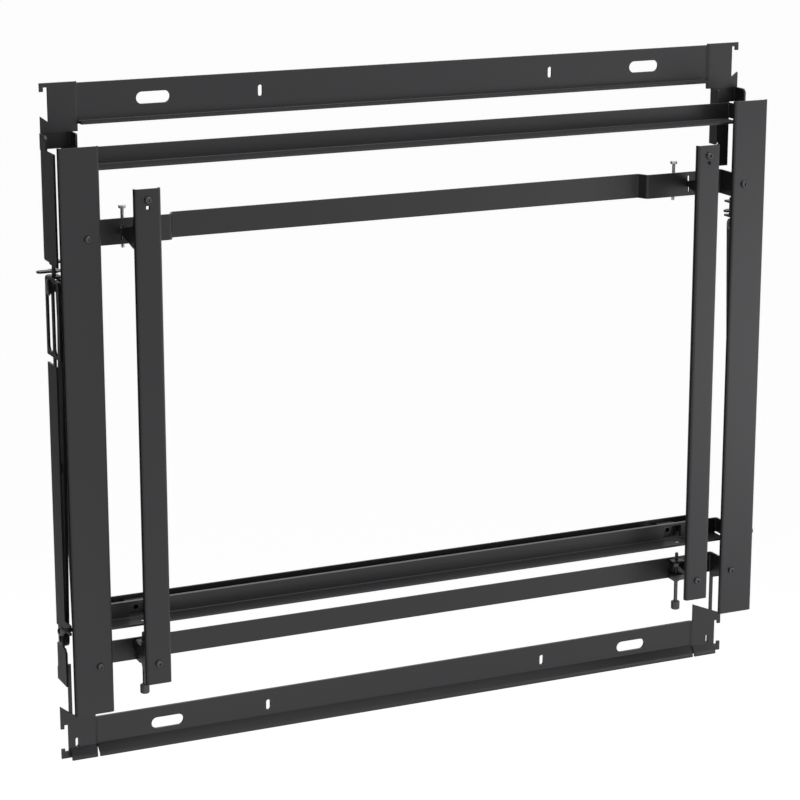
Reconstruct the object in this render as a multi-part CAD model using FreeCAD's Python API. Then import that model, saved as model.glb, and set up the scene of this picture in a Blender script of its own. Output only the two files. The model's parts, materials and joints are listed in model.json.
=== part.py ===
import FreeCAD
import Part
import math
import os

# Pop-out video wall mount. Millimetres. X runs to the right, Y into the wall, Z up.
# The wall is the plane Y = 0 and the origin is the middle of the four big wall slots,
# so a depth of 10 in front of the wall is Y = -10.

# Sheet, bends and clearances
SHEET = 2.0
RAIL_SHEET = 2.5
ARM_SHEET = 3.0
BEND = 1.0
FIT = 0.05
SLIDE_GAP = 0.3
FACE_GAP = 0.1

# Wall slots and wall rails
SLOT_SPACING_X = 531.0
SLOT_SPACING_Z = 626.9
SLOT_LENGTH = 34.0
SLOT_WIDTH = 11.5
KEY_SLOT_X = 156.9
KEY_SLOT_WIDTH = 4.6
KEY_SLOT_HEIGHT = 11.0
TOP_RAIL_ABOVE_ROW = 17.8
TOP_RAIL_BELOW_ROW = 20.5
TOP_LIP = 8.0
BOTTOM_RAIL_ABOVE_ROW = 16.8
BOTTOM_RAIL_BELOW_ROW = 22.0
BOTTOM_LIP_DROP = 11.0
BOTTOM_LIP = 8.5
BOTTOM_LIP_EDGE = 3.0
BOTTOM_LIP_HALF = 368.0

# Hook plates at the rail ends
HOOK_TIP_X = 377.0
HOOK_INNER_X = 340.9
JOGGLE_RUN = 3.0
NOTCH_X = 369.5
HOOK_LIP_WIDTH = 3.5
TOP_PLATE_ABOVE_ROW = 19.3
TOP_PLATE_BELOW_ROW = 27.2
TOP_ARM_HEIGHT = 4.0
TOP_LIP_DROP = 4.0
TOP_FOOT_BELOW_ROW = 11.5
TOP_FOOT_RISE = 5.5
BOTTOM_NOTCH_ABOVE_ROW = 13.9
BOTTOM_NOTCH_BELOW_ROW = 14.0
BOTTOM_HOOK_DROP = 4.0
BOTTOM_FOOT_RISE = 3.0
BOTTOM_PLATE_BELOW_ROW = 20.9
LEFT_TIP_ABOVE_ROW = 33.5
LEFT_SHOULDER_ABOVE_ROW = 22.8
LEFT_SHOULDER_X = 363.0
RIGHT_PEAK_ABOVE_ROW = 35.7
RIGHT_SHOULDER_ABOVE_ROW = 21.6
PLATE_SLOT_X = 360.8
PLATE_SLOT_BELOW_ROW = 6.1
PLATE_SLOT_WIDTH = 3.6
PLATE_SLOT_HEIGHT = 10.0

# Posts that stand out from the wall between the rails
POST_X = 378.0
POST_BACK = 4.5
TAB_INNER_X = 346.0
TAB_OUTER_X = 368.5
UPPER_POST_TOP = 286.0
UPPER_POST_BOTTOM = 166.0
UPPER_POST_DEPTH = 43.0
TAB_TOP = 328.0
TAB_WEB_DROP = 15.0
TOP_WALL_DEPTH = 20.0
TOP_WALL_CHAMFER = 3.0
INNER_FLANGE_DEPTH = 17.5
INNER_FLANGE_BOTTOM = 229.0
INNER_FLANGE_CHAMFER = 4.0
LEFT_STRIP_WIDTH = 11.0
RIGHT_STRIP_WIDTH = 23.5
HANGER_STRIP_WIDTH = 11.5
HANGER_STRIP_BOTTOM = 204.0
LOWER_POST_TOP = 153.0
SLOT_HEAD_DEPTH = 45.0
SLOT_HEAD_HEIGHT = 76.0
LOWER_POST_DEPTH = 31.0
NECK_HEIGHT = 8.0
BAND_BOTTOM = -193.0
PIVOT_NECK_WIDTH = 14.0
CORNER_WALL_TOP = -212.0
CORNER_CHAMFER = 4.0
LOWER_POST_BOTTOM = -250.0
CORNER_LINK_HEIGHT = 12.0
STRIP_WIDTH = 3.5
STRIP_OUT_X = 367.5
LOWER_TAB_BOTTOM = -331.0

# Scissor arms
REAR_PIVOT_DEPTH = 16.0
FRONT_PIVOT_DEPTH = 34.0
LOWER_PIVOT_Z = -205.6
UPPER_PIVOT_Z = 143.0
OPEN_ANGLE = 30.0
ARM_WIDTH = 14.0
PIN_R = 3.0
PIN_HEAD_R = 5.0
PIN_HEAD = 1.3
STACK_GAP = 2.0
SPACER = 1.6
ROLLER_R = 6.2
ROLLER_HEAD_R = 8.0
SLOT_END_PLAY = 0.3

# Front frame
FRONT_FACE = 61.3
PLATE_INNER_X = 339.8
PLATE_WIDTH = 39.5
PLATE_TOP = 280.2
PLATE_BOTTOM = -270.3
PLATE_RETURN = 3.5
CARRIAGE_TOP = 262.0
CARRIAGE_BOTTOM = -250.0
CARRIAGE_BACK = 24.0
CARRIAGE_EDGE_X = 343.0
CROSS_FACE = 26.1
CROSS_HEIGHT = 18.5
CROSS_FLANGE_FRONT = 47.3
CROSS_END_X = 356.0
CROSS_END_LAP = 20.0
UPPER_CROSS_Z = 255.4
LOWER_CROSS_Z = -192.3
TROUGH_BACK = 3.5
TROUGH_HALF = 345.0
FOOT_OUT_X = 361.5
BAR_END_X = 347.6
BAR_FOOT_OUT_X = 358.0
UPPER_BAR_FACE = 16.3
UPPER_BAR_TAB_FACE = 26.9
UPPER_BAR_Z = 180.4
UPPER_BAR_HEIGHT = 24.7
BAR_JOGGLE_X = 254.5
BAR_JOGGLE_RUN = 5.0
LOWER_BAR_FACE = 30.4
LOWER_BAR_Z = -232.3
LOWER_BAR_HEIGHT = 22.3
PLATE_SCREW_X = 353.0
PLATE_SCREW_Z = (194.5, -222.5)
SCREW_R = 2.4
SCREW_HEAD_R = 3.6
SCREW_HEAD = 2.6

# Display rails, their brackets and screws
DISPLAY_X = 300.0
DISPLAY_FACE = 79.1
DISPLAY_WIDTH = 26.2
DISPLAY_TOP = 240.6
DISPLAY_BOTTOM = -242.3
DISPLAY_RETURN = 5.0
DISPLAY_HOLE_Z = 222.8
DISPLAY_HOLE = 3.6
BRACKET_WIDTH = 19.0
BRACKET_WALL_X = 309.0
HOOK_SHOULDER_Z = 203.0
HOOK_BOTTOM = 182.0
HOOK_FLANGE_TOP = 236.0
HOOK_REAR = 4.0
HOOK_DROP = 6.0
HOOK_LIP_DEPTH = 12.0
HOOK_PLAY = 0.4
HOOK_WINDOW_EDGE = 4.0
HEIGHT_TRAVEL = 5.0
HOOK_NECK_FRONT = 60.0
NECK_RUN = 8.0
HOOK_SCREW_Z = 230.0
LOWER_SCREW_Z = -221.5
SAFETY_SCREW_X = 301.0
SAFETY_SCREW_DEPTH = 7.5
SAFETY_SCREW_R = 2.0
SAFETY_TIP_Z = 173.0
SAFETY_HEAD_Z = 211.0
SAFETY_HEAD = 3.0
LOWER_BRACKET_TOP = -204.0
LOWER_BRACKET_BOTTOM = -238.0
LOWER_BRACKET_REAR = 32.0
HEIGHT_SCREW_X = 300.2
HEIGHT_SCREW_DEPTH = 36.0
HEIGHT_SCREW_R = 2.0
HEIGHT_SCREW_TIP = -203.0
HEIGHT_HEAD_BOTTOM = -266.0
HEIGHT_HEAD = 9.0
HEIGHT_HEAD_R = 4.6
HEIGHT_COLLAR = 2.0
LIP_Z = -213.0
LIP_BACK_DROP = 8.0
LIP_FRONT_DROP = 14.0
NUT_HEIGHT = 5.0
NUT_FLAT = 9.0
BUSH_HEIGHT = 6.0
BUSH_WIDTH = 13.0
NUT_BLOCK_WIDTH = 21.0
NUT_BLOCK_HEIGHT = 13.0
NUT_BLOCK_DEPTH = 9.0
NUT_BLOCK_FROM_END = 44.8

# Spacing screws with finger levers, and docking pins
SPACER_SCREW_X = 370.6
SPACER_SCREW_DEPTH = 10.0
SPACER_SCREW_R = 2.0
SPACER_TAB_DEPTH = 20.0
TAB_LAP = 5.0
LEVER_Z = 156.0
LEVER_SHEET = 2.0
LEVER_OUT = 17.0
LEVER_IN = 8.5
LEVER_WIDTH = 8.0
LEVER_HUB_R = 6.5
DOCK_Z = -187.5
DOCK_R = 2.0
DOCK_ARM_GAP = 0.5
DOCK_HEAD_R = 4.2
DOCK_HEAD = 5.0
DOCK_STAND = 6.0
EAR_REACH = 3.0
EAR_HEIGHT = 10.0

# Places worked out from the sizes above
ROW_TOP = SLOT_SPACING_Z / 2
ROW_BOTTOM = -SLOT_SPACING_Z / 2
TOP_RAIL_TOP = ROW_TOP + TOP_RAIL_ABOVE_ROW
TOP_RAIL_BOTTOM = ROW_TOP - TOP_RAIL_BELOW_ROW
BOTTOM_RAIL_TOP = ROW_BOTTOM + BOTTOM_RAIL_ABOVE_ROW
BOTTOM_RAIL_BOTTOM = ROW_BOTTOM - BOTTOM_RAIL_BELOW_ROW
LOWER_TAB_TOP = ROW_BOTTOM + LEFT_SHOULDER_ABOVE_ROW - 1
WEB_END_X = HOOK_INNER_X - JOGGLE_RUN / 2
PLATE_START_X = HOOK_INNER_X + JOGGLE_RUN / 2
POST_INNER = POST_X - SHEET
REAR_ARM_OUT = POST_INNER - STACK_GAP
REAR_ARM_IN = REAR_ARM_OUT - ARM_SHEET
FRONT_ARM_OUT = REAR_ARM_IN - SPACER
FRONT_ARM_IN = FRONT_ARM_OUT - ARM_SHEET
CARRIAGE_OUT = FRONT_ARM_IN - STACK_GAP
CARRIAGE_IN = CARRIAGE_OUT - SHEET
ARM_DEPTH_STEP = FRONT_PIVOT_DEPTH - REAR_PIVOT_DEPTH
ARM_RISE = UPPER_PIVOT_Z - LOWER_PIVOT_Z
ARM_LENGTH = math.hypot(ARM_DEPTH_STEP, ARM_RISE)
LEAN = math.atan2(ARM_DEPTH_STEP, ARM_RISE)
ROLLER_DROP = ARM_RISE - ARM_LENGTH * math.cos(LEAN + math.radians(OPEN_ANGLE))
CENTRE_DEPTH = (REAR_PIVOT_DEPTH + FRONT_PIVOT_DEPTH) / 2
CENTRE_Z = (LOWER_PIVOT_Z + UPPER_PIVOT_Z) / 2
PLATE_BACK = FRONT_FACE - SHEET
CARRIAGE_FACE = PLATE_BACK
FOOT_FACE = CARRIAGE_FACE - SHEET
SLOT_HALF = ROLLER_R + SLIDE_GAP
DOCK_DEPTH = FRONT_PIVOT_DEPTH + ARM_WIDTH / 2 + DOCK_ARM_GAP + DOCK_R
EAR_DEPTH = DOCK_DEPTH + EAR_REACH
SLOT_TOP = UPPER_PIVOT_Z + SLOT_HALF + SLOT_END_PLAY
SLOT_BOTTOM = UPPER_PIVOT_Z - ROLLER_DROP - SLOT_HALF - SLOT_END_PLAY
UPPER_BAR_TOP = UPPER_BAR_Z + UPPER_BAR_HEIGHT
DISPLAY_BACK = DISPLAY_FACE - SHEET
NUT_BLOCK_X = TROUGH_HALF - NUT_BLOCK_FROM_END
TONGUE_BOTTOM = UPPER_BAR_Z + HOOK_WINDOW_EDGE + HEIGHT_TRAVEL + HOOK_PLAY
TONGUE_TOP = UPPER_BAR_TOP - HOOK_WINDOW_EDGE - HEIGHT_TRAVEL - HOOK_PLAY

os.makedirs("parts", exist_ok=True)


def vec(x, depth, z):
    return FreeCAD.Vector(x, -depth, z)


def block(x0, x1, depth0, depth1, z0, z1):
    low = FreeCAD.Vector(min(x0, x1), -max(depth0, depth1), min(z0, z1))
    return Part.makeBox(abs(x1 - x0), abs(depth1 - depth0), abs(z1 - z0), low)


def rod_x(radius, x0, x1, depth, z):
    start = FreeCAD.Vector(min(x0, x1), -depth, z)
    return Part.makeCylinder(radius, abs(x1 - x0), start, FreeCAD.Vector(1, 0, 0))


def rod_y(radius, x, depth0, depth1, z):
    start = FreeCAD.Vector(x, -max(depth0, depth1), z)
    return Part.makeCylinder(radius, abs(depth1 - depth0), start, FreeCAD.Vector(0, 1, 0))


def rod_z(radius, x, depth, z0, z1):
    start = FreeCAD.Vector(x, -depth, min(z0, z1))
    return Part.makeCylinder(radius, abs(z1 - z0), start, FreeCAD.Vector(0, 0, 1))


def stadium(half_width, x, z0, z1, depth0, depth1):
    """Upright slot cutter that goes through a plate facing the wall."""
    cut = block(x - half_width, x + half_width, depth0, depth1, z0 + half_width, z1 - half_width)
    cut = cut.fuse(rod_y(half_width, x, depth0, depth1, z0 + half_width))
    return cut.fuse(rod_y(half_width, x, depth0, depth1, z1 - half_width))


def long_slot(half_width, x0, x1, z, depth0, depth1):
    """Lying slot cutter that goes through a plate facing the wall."""
    cut = block(x0 + half_width, x1 - half_width, depth0, depth1, z - half_width, z + half_width)
    cut = cut.fuse(rod_y(half_width, x0 + half_width, depth0, depth1, z))
    return cut.fuse(rod_y(half_width, x1 - half_width, depth0, depth1, z))


def side_slot(half_width, x0, x1, depth, z0, z1):
    """Upright slot cutter that goes through a side wall."""
    cut = block(x0, x1, depth - half_width, depth + half_width, z0 + half_width, z1 - half_width)
    cut = cut.fuse(rod_x(half_width, x0, x1, depth, z0 + half_width))
    return cut.fuse(rod_x(half_width, x0, x1, depth, z1 - half_width))


def unit(a, b):
    length = math.hypot(b[0] - a[0], b[1] - a[1])
    return ((b[0] - a[0]) / length, (b[1] - a[1]) / length)


def sheet_edges(path, offset, radius):
    """Points and arcs of one side of a bent sheet, offset to the left of its middle line."""
    dirs = [unit(path[i], path[i + 1]) for i in range(len(path) - 1)]
    runs = [(path[0][0] - dirs[0][1] * offset, path[0][1] + dirs[0][0] * offset)]
    arcs = []
    for i in range(1, len(path) - 1):
        d0, d1 = dirs[i - 1], dirs[i]
        cross = d0[0] * d1[1] - d0[1] * d1[0]
        turn = abs(math.atan2(cross, d0[0] * d1[0] + d0[1] * d1[1]))
        side = 1 if cross > 0 else -1
        trim = radius * math.tan(turn / 2)
        corner = path[i]
        first = (corner[0] - d0[0] * trim, corner[1] - d0[1] * trim)
        last = (corner[0] + d1[0] * trim, corner[1] + d1[1] * trim)
        centre = (first[0] - d0[1] * radius * side, first[1] + d0[0] * radius * side)
        out = unit(centre, corner)
        reach = radius - side * offset
        start = (first[0] - d0[1] * offset, first[1] + d0[0] * offset)
        middle = (centre[0] + out[0] * reach, centre[1] + out[1] * reach)
        end = (last[0] - d1[1] * offset, last[1] + d1[0] * offset)
        arcs.append((start, middle, end))
    tip = (path[-1][0] - dirs[-1][1] * offset, path[-1][1] + dirs[-1][0] * offset)
    return runs[0], arcs, tip


def bent_sheet(path, thickness, place, sweep):
    """Bent sheet seen end on: its middle line goes through path, its bends are round."""
    radius = BEND + thickness / 2
    edges = []
    ends = []
    for offset in (thickness / 2, -thickness / 2):
        start, arcs, tip = sheet_edges(path, offset, radius)
        here = start
        for first, middle, last in arcs:
            edges.append(Part.LineSegment(place(*here), place(*first)).toShape())
            edges.append(Part.Arc(place(*first), place(*middle), place(*last)).toShape())
            here = last
        edges.append(Part.LineSegment(place(*here), place(*tip)).toShape())
        ends.append((start, tip))
    for a, b in zip(ends[0], ends[1]):
        edges.append(Part.LineSegment(place(*a), place(*b)).toShape())
    wire = Part.Wire(Part.__sortEdges__(edges))
    return Part.Face(wire).extrude(sweep)


def plan_sheet(path, z0, z1, thickness=SHEET):
    """Bent sheet drawn in plan as (x, depth) and raised from z0 to z1."""
    return bent_sheet(path, thickness, lambda x, d: vec(x, d, z0), FreeCAD.Vector(0, 0, z1 - z0))


def section_sheet(path, x0, x1, thickness=SHEET):
    """Bent sheet drawn in section as (depth, z) and run from x0 to x1."""
    return bent_sheet(path, thickness, lambda d, z: vec(x0, d, z), FreeCAD.Vector(x1 - x0, 0, 0))


def plate_xz(points, depth0, depth1):
    corners = [vec(x, depth1, z) for x, z in points]
    face = Part.Face(Part.makePolygon(corners + corners[:1]))
    return face.extrude(FreeCAD.Vector(0, depth1 - depth0, 0))


def plate_dz(points, x0, x1):
    corners = [vec(x0, d, z) for d, z in points]
    face = Part.Face(Part.makePolygon(corners + corners[:1]))
    return face.extrude(FreeCAD.Vector(x1 - x0, 0, 0))


def fuse_all(shapes):
    body = shapes[0].multiFuse(shapes[1:]) if len(shapes) > 1 else shapes[0]
    return body.removeSplitter()


def mirrored(shape):
    return shape.mirror(FreeCAD.Vector(0, 0, 0), FreeCAD.Vector(1, 0, 0))


def both(shape):
    return [mirrored(shape), shape]


def group(shapes):
    return Part.makeCompound(shapes)


def write(name, shape):
    shape.exportStep("parts/%s.step" % name)


def write_pair(name, shape):
    """Right-hand piece as given, left-hand piece mirrored."""
    write("right_" + name, shape)
    write("left_" + name, mirrored(shape))


# Wall rails
def rail_strip(z0, z1):
    web = RAIL_SHEET / 2
    front = SHEET + RAIL_SHEET / 2
    path = [(-HOOK_TIP_X, front), (-PLATE_START_X, front), (-WEB_END_X, web),
            (WEB_END_X, web), (PLATE_START_X, front), (HOOK_TIP_X, front)]
    return plan_sheet(path, z0, z1, RAIL_SHEET)


def wall_slots(row):
    half = SLOT_LENGTH / 2
    cuts = []
    for sign in (-1, 1):
        x = sign * SLOT_SPACING_X / 2
        cuts.append(long_slot(SLOT_WIDTH / 2, x - half, x + half, row, -1, 2 * RAIL_SHEET))
        low = row - KEY_SLOT_HEIGHT / 2
        cuts.append(stadium(KEY_SLOT_WIDTH / 2, sign * KEY_SLOT_X, low, low + KEY_SLOT_HEIGHT,
                            -1, 2 * RAIL_SHEET))
    return cuts


def top_wall_rail():
    top = ROW_TOP + TOP_PLATE_ABOVE_ROW
    arm = top - TOP_ARM_HEIGHT
    foot = ROW_TOP - TOP_FOOT_BELOW_ROW
    base = ROW_TOP - TOP_PLATE_BELOW_ROW
    inner_lip = HOOK_TIP_X - HOOK_LIP_WIDTH
    web_low = TOP_RAIL_BOTTOM + RAIL_SHEET + BEND
    half = [(HOOK_INNER_X, TOP_RAIL_TOP), (HOOK_INNER_X, top), (HOOK_TIP_X, top),
            (HOOK_TIP_X, arm - TOP_LIP_DROP), (inner_lip, arm - TOP_LIP_DROP), (inner_lip, arm),
            (NOTCH_X, arm), (NOTCH_X, foot - TOP_FOOT_RISE), (HOOK_TIP_X, foot), (HOOK_TIP_X, base),
            (HOOK_INNER_X, base), (HOOK_INNER_X, TOP_RAIL_BOTTOM), (WEB_END_X, TOP_RAIL_BOTTOM),
            (WEB_END_X, web_low)]
    outline = half + [(-x, z) for x, z in reversed(half)]
    rail = rail_strip(base - 5, top + 5).common(plate_xz(outline, -1, 10))
    lip_z = TOP_RAIL_BOTTOM + RAIL_SHEET / 2
    lip = section_sheet([(RAIL_SHEET / 2, web_low + 2), (RAIL_SHEET / 2, lip_z),
                         (RAIL_SHEET + TOP_LIP, lip_z)], -WEB_END_X, WEB_END_X, RAIL_SHEET)
    return fuse_all([rail, lip]).cut(wall_slots(ROW_TOP))


def bottom_wall_rail():
    notch_top = ROW_BOTTOM + BOTTOM_NOTCH_ABOVE_ROW
    notch_base = ROW_BOTTOM - BOTTOM_NOTCH_BELOW_ROW
    base = ROW_BOTTOM - BOTTOM_PLATE_BELOW_ROW
    inner_lip = HOOK_TIP_X - HOOK_LIP_WIDTH
    web_low = BOTTOM_RAIL_BOTTOM + BOTTOM_LIP_DROP + RAIL_SHEET
    hook = [(HOOK_TIP_X, notch_top - BOTTOM_HOOK_DROP), (inner_lip, notch_top - BOTTOM_HOOK_DROP),
            (inner_lip, notch_top), (NOTCH_X, notch_top), (NOTCH_X, notch_base),
            (inner_lip, notch_base), (inner_lip, notch_base + BOTTOM_FOOT_RISE),
            (HOOK_TIP_X, notch_base + BOTTOM_FOOT_RISE), (HOOK_TIP_X, base), (WEB_END_X, base),
            (WEB_END_X, web_low)]
    right = [(HOOK_INNER_X, BOTTOM_RAIL_TOP), (PLATE_START_X, BOTTOM_RAIL_TOP),
             (PLATE_START_X, ROW_BOTTOM + RIGHT_PEAK_ABOVE_ROW),
             (HOOK_TIP_X, ROW_BOTTOM + RIGHT_SHOULDER_ABOVE_ROW)] + hook
    left = [(HOOK_INNER_X, BOTTOM_RAIL_TOP), (HOOK_INNER_X, ROW_BOTTOM + LEFT_SHOULDER_ABOVE_ROW),
            (LEFT_SHOULDER_X, ROW_BOTTOM + LEFT_SHOULDER_ABOVE_ROW),
            (HOOK_TIP_X, ROW_BOTTOM + LEFT_TIP_ABOVE_ROW)] + hook
    outline = right + [(-x, z) for x, z in reversed(left)]
    rail = rail_strip(base - 5, ROW_BOTTOM + RIGHT_PEAK_ABOVE_ROW + 5)
    rail = rail.common(plate_xz(outline, -1, 10))
    front = SHEET + RAIL_SHEET / 2
    end_lip = bottom_lip(front, web_low, PLATE_START_X - 0.5, BOTTOM_LIP_HALF)
    rail = fuse_all([rail, bottom_lip(RAIL_SHEET / 2, web_low, -WEB_END_X, WEB_END_X)] + both(end_lip))
    return rail.cut(wall_slots(ROW_BOTTOM) + both(plate_slot()))


def bottom_lip(root, web_low, x0, x1):
    """Sloping lip under the bottom rail, rooted in a web whose middle is at depth root."""
    low = BOTTOM_RAIL_BOTTOM
    edge = RAIL_SHEET / 2 + BOTTOM_LIP
    return section_sheet([(root, web_low + 2), (root, low + BOTTOM_LIP_DROP),
                          (edge, low + BOTTOM_LIP_EDGE), (edge, low)], x0, x1, RAIL_SHEET)


def plate_slot():
    low = ROW_BOTTOM - PLATE_SLOT_BELOW_ROW - PLATE_SLOT_HEIGHT / 2
    return stadium(PLATE_SLOT_WIDTH / 2, PLATE_SLOT_X, low, low + PLATE_SLOT_HEIGHT, -1, 2 * RAIL_SHEET)


# Posts
def upper_post(strip_width, hanger_bottom):
    """Channel at the top corner: outer wall, web and inner flange, with a strip that hangs down."""
    mid = SHEET / 2
    path = [(TAB_INNER_X + mid, INNER_FLANGE_DEPTH), (TAB_INNER_X + mid, mid),
            (POST_X - mid, mid), (POST_X - mid, UPPER_POST_DEPTH)]
    web_bottom = UPPER_POST_TOP - TAB_WEB_DROP
    blank = plan_sheet(path, UPPER_POST_BOTTOM, TAB_TOP)
    strip_out = TAB_INNER_X + strip_width
    trim = INNER_FLANGE_CHAMFER
    flange = [(0, INNER_FLANGE_BOTTOM), (INNER_FLANGE_DEPTH - trim, INNER_FLANGE_BOTTOM),
              (INNER_FLANGE_DEPTH, INNER_FLANGE_BOTTOM + trim), (INNER_FLANGE_DEPTH, web_bottom + 1),
              (0, web_bottom + 1)]
    trim = TOP_WALL_CHAMFER
    top = [(0, web_bottom), (TOP_WALL_DEPTH, web_bottom), (TOP_WALL_DEPTH, UPPER_POST_TOP - trim),
           (TOP_WALL_DEPTH - trim, UPPER_POST_TOP), (0, UPPER_POST_TOP)]
    keep = [block(TAB_INNER_X, TAB_OUTER_X, 0, SHEET, web_bottom, TAB_TOP),
            plate_dz(top, TAB_INNER_X, POST_X), plate_dz(flange, TAB_INNER_X, strip_out),
            block(strip_out - HANGER_STRIP_WIDTH, strip_out, 0, SHEET, hanger_bottom, web_bottom),
            block(POST_INNER, POST_X, POST_BACK, UPPER_POST_DEPTH, UPPER_POST_BOTTOM, web_bottom + 1)]
    post = with_spacer_tab(blank.common(fuse_all(keep)), UPPER_POST_BOTTOM, 1)
    return post.cut(rod_z(SPACER_SCREW_R + FIT, SPACER_SCREW_X, SPACER_SCREW_DEPTH,
                          UPPER_POST_BOTTOM - 1, UPPER_POST_BOTTOM + SHEET + 1))


def with_spacer_tab(post, edge, rise):
    """Post with a tab bent inwards at its lower edge (rise 1) or its upper edge (rise -1)."""
    mid = SHEET / 2
    z = edge + rise * mid
    trim = edge + rise * (SHEET + BEND)
    path = [(POST_X - mid, trim + rise * TAB_LAP), (POST_X - mid, z), (SPACER_SCREW_X - TAB_LAP, z)]
    tab = bent_sheet(path, SHEET, lambda x, height: vec(x, POST_BACK, height),
                     FreeCAD.Vector(0, -(SPACER_TAB_DEPTH - POST_BACK), 0))
    corner = block(POST_INNER - 1, POST_X + 1, POST_BACK - 1, SPACER_TAB_DEPTH, edge - rise, trim)
    return fuse_all([post.cut(corner), tab])


def lower_post():
    """Side member that carries the scissor: slotted head, long band, pivot neck and bottom corner."""
    mid = SHEET / 2
    head_bottom = LOWER_POST_TOP - SLOT_HEAD_HEIGHT
    neck_back = REAR_PIVOT_DEPTH + SLOT_HALF
    neck_front = FRONT_PIVOT_DEPTH - SLOT_HALF
    pivot_back = REAR_PIVOT_DEPTH - PIVOT_NECK_WIDTH / 2
    pivot_front = REAR_PIVOT_DEPTH + PIVOT_NECK_WIDTH / 2
    ear_top = DOCK_Z + EAR_HEIGHT / 2
    ear_bottom = DOCK_Z - EAR_HEIGHT / 2
    link_top = LOWER_POST_BOTTOM + CORNER_LINK_HEIGHT
    outline = [(POST_BACK, LOWER_POST_TOP), (SLOT_HEAD_DEPTH, LOWER_POST_TOP),
               (SLOT_HEAD_DEPTH, head_bottom), (neck_front, head_bottom),
               (neck_front, head_bottom - NECK_HEIGHT), (LOWER_POST_DEPTH, head_bottom - NECK_HEIGHT),
               (LOWER_POST_DEPTH, ear_top), (EAR_DEPTH, ear_top), (EAR_DEPTH, ear_bottom),
               (pivot_front, ear_bottom), (pivot_front, CORNER_WALL_TOP),
               (LOWER_POST_DEPTH - CORNER_CHAMFER, CORNER_WALL_TOP),
               (LOWER_POST_DEPTH, CORNER_WALL_TOP - CORNER_CHAMFER), (LOWER_POST_DEPTH, LOWER_POST_BOTTOM),
               (-1, LOWER_POST_BOTTOM), (-1, link_top), (POST_BACK, link_top),
               (POST_BACK, CORNER_WALL_TOP), (pivot_back, CORNER_WALL_TOP), (pivot_back, BAND_BOTTOM),
               (POST_BACK, BAND_BOTTOM), (POST_BACK, head_bottom - NECK_HEIGHT),
               (neck_back, head_bottom - NECK_HEIGHT), (neck_back, head_bottom), (POST_BACK, head_bottom)]
    blank = plan_sheet([(TAB_INNER_X, mid), (POST_X - mid, mid), (POST_X - mid, EAR_DEPTH)],
                       LOWER_TAB_BOTTOM, LOWER_POST_TOP)
    strip = STRIP_OUT_X - STRIP_WIDTH
    keep = [plate_dz(outline, STRIP_OUT_X, POST_X),
            block(strip, STRIP_OUT_X, 0, SHEET, LOWER_TAB_TOP - 1, link_top),
            block(STRIP_OUT_X - 1, POST_X, 0, SHEET, LOWER_POST_BOTTOM, link_top),
            block(TAB_INNER_X, TAB_OUTER_X, 0, SHEET, LOWER_TAB_BOTTOM, LOWER_TAB_TOP)]
    post = with_spacer_tab(blank.common(fuse_all(keep)), LOWER_POST_TOP, -1)
    x0, x1 = POST_INNER - 1, POST_X + 1
    cuts = [side_slot(SLOT_HALF, x0, x1, depth, SLOT_BOTTOM, SLOT_TOP)
            for depth in (REAR_PIVOT_DEPTH, FRONT_PIVOT_DEPTH)]
    cuts.append(rod_x(PIN_R, x0, x1, REAR_PIVOT_DEPTH, LOWER_PIVOT_Z))
    fork = DOCK_R + SLIDE_GAP
    cuts.append(rod_x(fork, x0, x1, DOCK_DEPTH, DOCK_Z))
    cuts.append(block(x0, x1, DOCK_DEPTH, EAR_DEPTH + 1, DOCK_Z - fork, DOCK_Z + fork))
    return post.cut(cuts + [plate_slot()])


# Scissor arms
def arm(x_in, x_out, pivot_depth, lean):
    """Flat arm with round ends and three pin holes, leaning forward or back going up."""
    half = ARM_WIDTH / 2
    low = LOWER_PIVOT_Z
    bar = fuse_all([block(x_in, x_out, pivot_depth - half, pivot_depth + half, low, low + ARM_LENGTH),
                    rod_x(half, x_in, x_out, pivot_depth, low),
                    rod_x(half, x_in, x_out, pivot_depth, low + ARM_LENGTH)])
    bar = bar.cut([rod_x(PIN_R, x_in - 1, x_out + 1, pivot_depth, low + along)
                   for along in (0, ARM_LENGTH / 2, ARM_LENGTH)])
    bar.rotate(vec(0, pivot_depth, low), FreeCAD.Vector(1, 0, 0), math.degrees(lean))
    return bar


def turned(depth, z, steps):
    """Turned piece along X from (x0, x1, radius) steps."""
    return fuse_all([rod_x(radius, x0, x1, depth, z) for x0, x1, radius in steps])


def rear_pivot_pin():
    inner = REAR_ARM_IN - FACE_GAP
    return turned(REAR_PIVOT_DEPTH, LOWER_PIVOT_Z,
                  [(inner - PIN_HEAD, inner, PIN_HEAD_R), (inner, POST_X, PIN_R - FIT),
                   (REAR_ARM_OUT + FACE_GAP, POST_INNER, PIN_HEAD_R),
                   (POST_X, POST_X + PIN_HEAD, PIN_HEAD_R)])


def centre_pin():
    inner = FRONT_ARM_IN - FACE_GAP
    outer = REAR_ARM_OUT + FACE_GAP
    return turned(CENTRE_DEPTH, CENTRE_Z,
                  [(inner - PIN_HEAD, inner, PIN_HEAD_R), (inner, outer, PIN_R - FIT),
                   (FRONT_ARM_OUT + FACE_GAP, REAR_ARM_IN - FACE_GAP, PIN_HEAD_R),
                   (outer, outer + PIN_HEAD, PIN_HEAD_R)])


def front_pivot_pin():
    outer = FRONT_ARM_OUT + FACE_GAP
    head = min(PIN_HEAD, SPACER - 2 * FACE_GAP)
    return turned(FRONT_PIVOT_DEPTH, LOWER_PIVOT_Z,
                  [(CARRIAGE_IN - PIN_HEAD, CARRIAGE_IN, PIN_HEAD_R), (CARRIAGE_IN, outer, PIN_R - FIT),
                   (CARRIAGE_OUT, FRONT_ARM_IN - FACE_GAP, PIN_HEAD_R), (outer, outer + head, PIN_HEAD_R)])


def roller(x0, x1, depth, z):
    return rod_x(ROLLER_R, x0, x1, depth, z).cut(rod_x(PIN_R, x0 - 1, x1 + 1, depth, z))


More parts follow.
